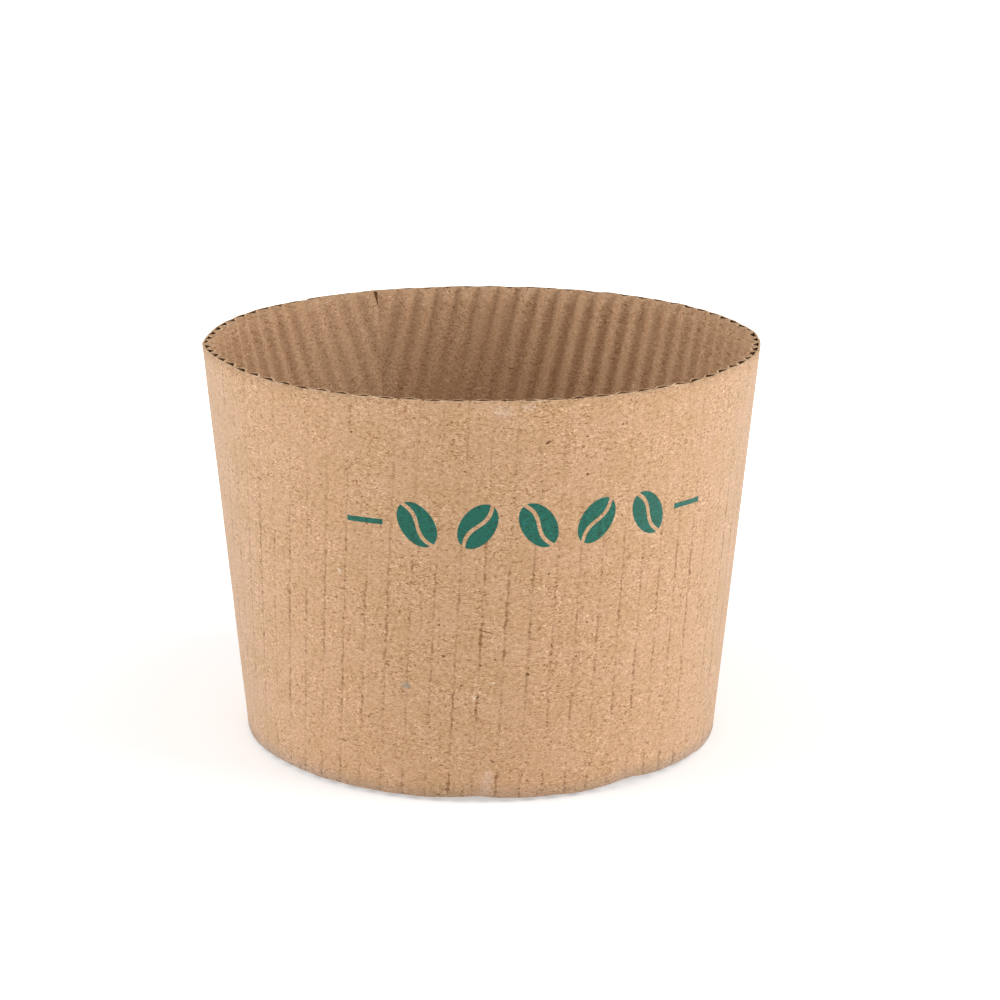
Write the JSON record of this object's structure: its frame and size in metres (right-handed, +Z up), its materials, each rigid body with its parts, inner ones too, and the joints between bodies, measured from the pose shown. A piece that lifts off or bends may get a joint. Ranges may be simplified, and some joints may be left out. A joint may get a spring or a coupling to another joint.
{
  "type": "coffee cup sleeve",
  "caption": "Tapered open ring of single-face corrugated kraft board that slips up a paper cup and insulates the hand, with flutes inside and a glued lap behind.",
  "frame": {"origin": "centre of the bottom, narrow edge, on the surface that the sleeve stands on", "axes": "+Z up the sleeve's own axis towards the wide edge, -Y out through the front that carries the print, +X to the viewer's right of it"},
  "size_m": [0.0824, 0.0824, 0.0594],
  "materials": {
    "kraft_board": "matte"
  },
  "bodies": {
    "root": {"sleeve": "kraft_board"}
  },
  "joints": []
}
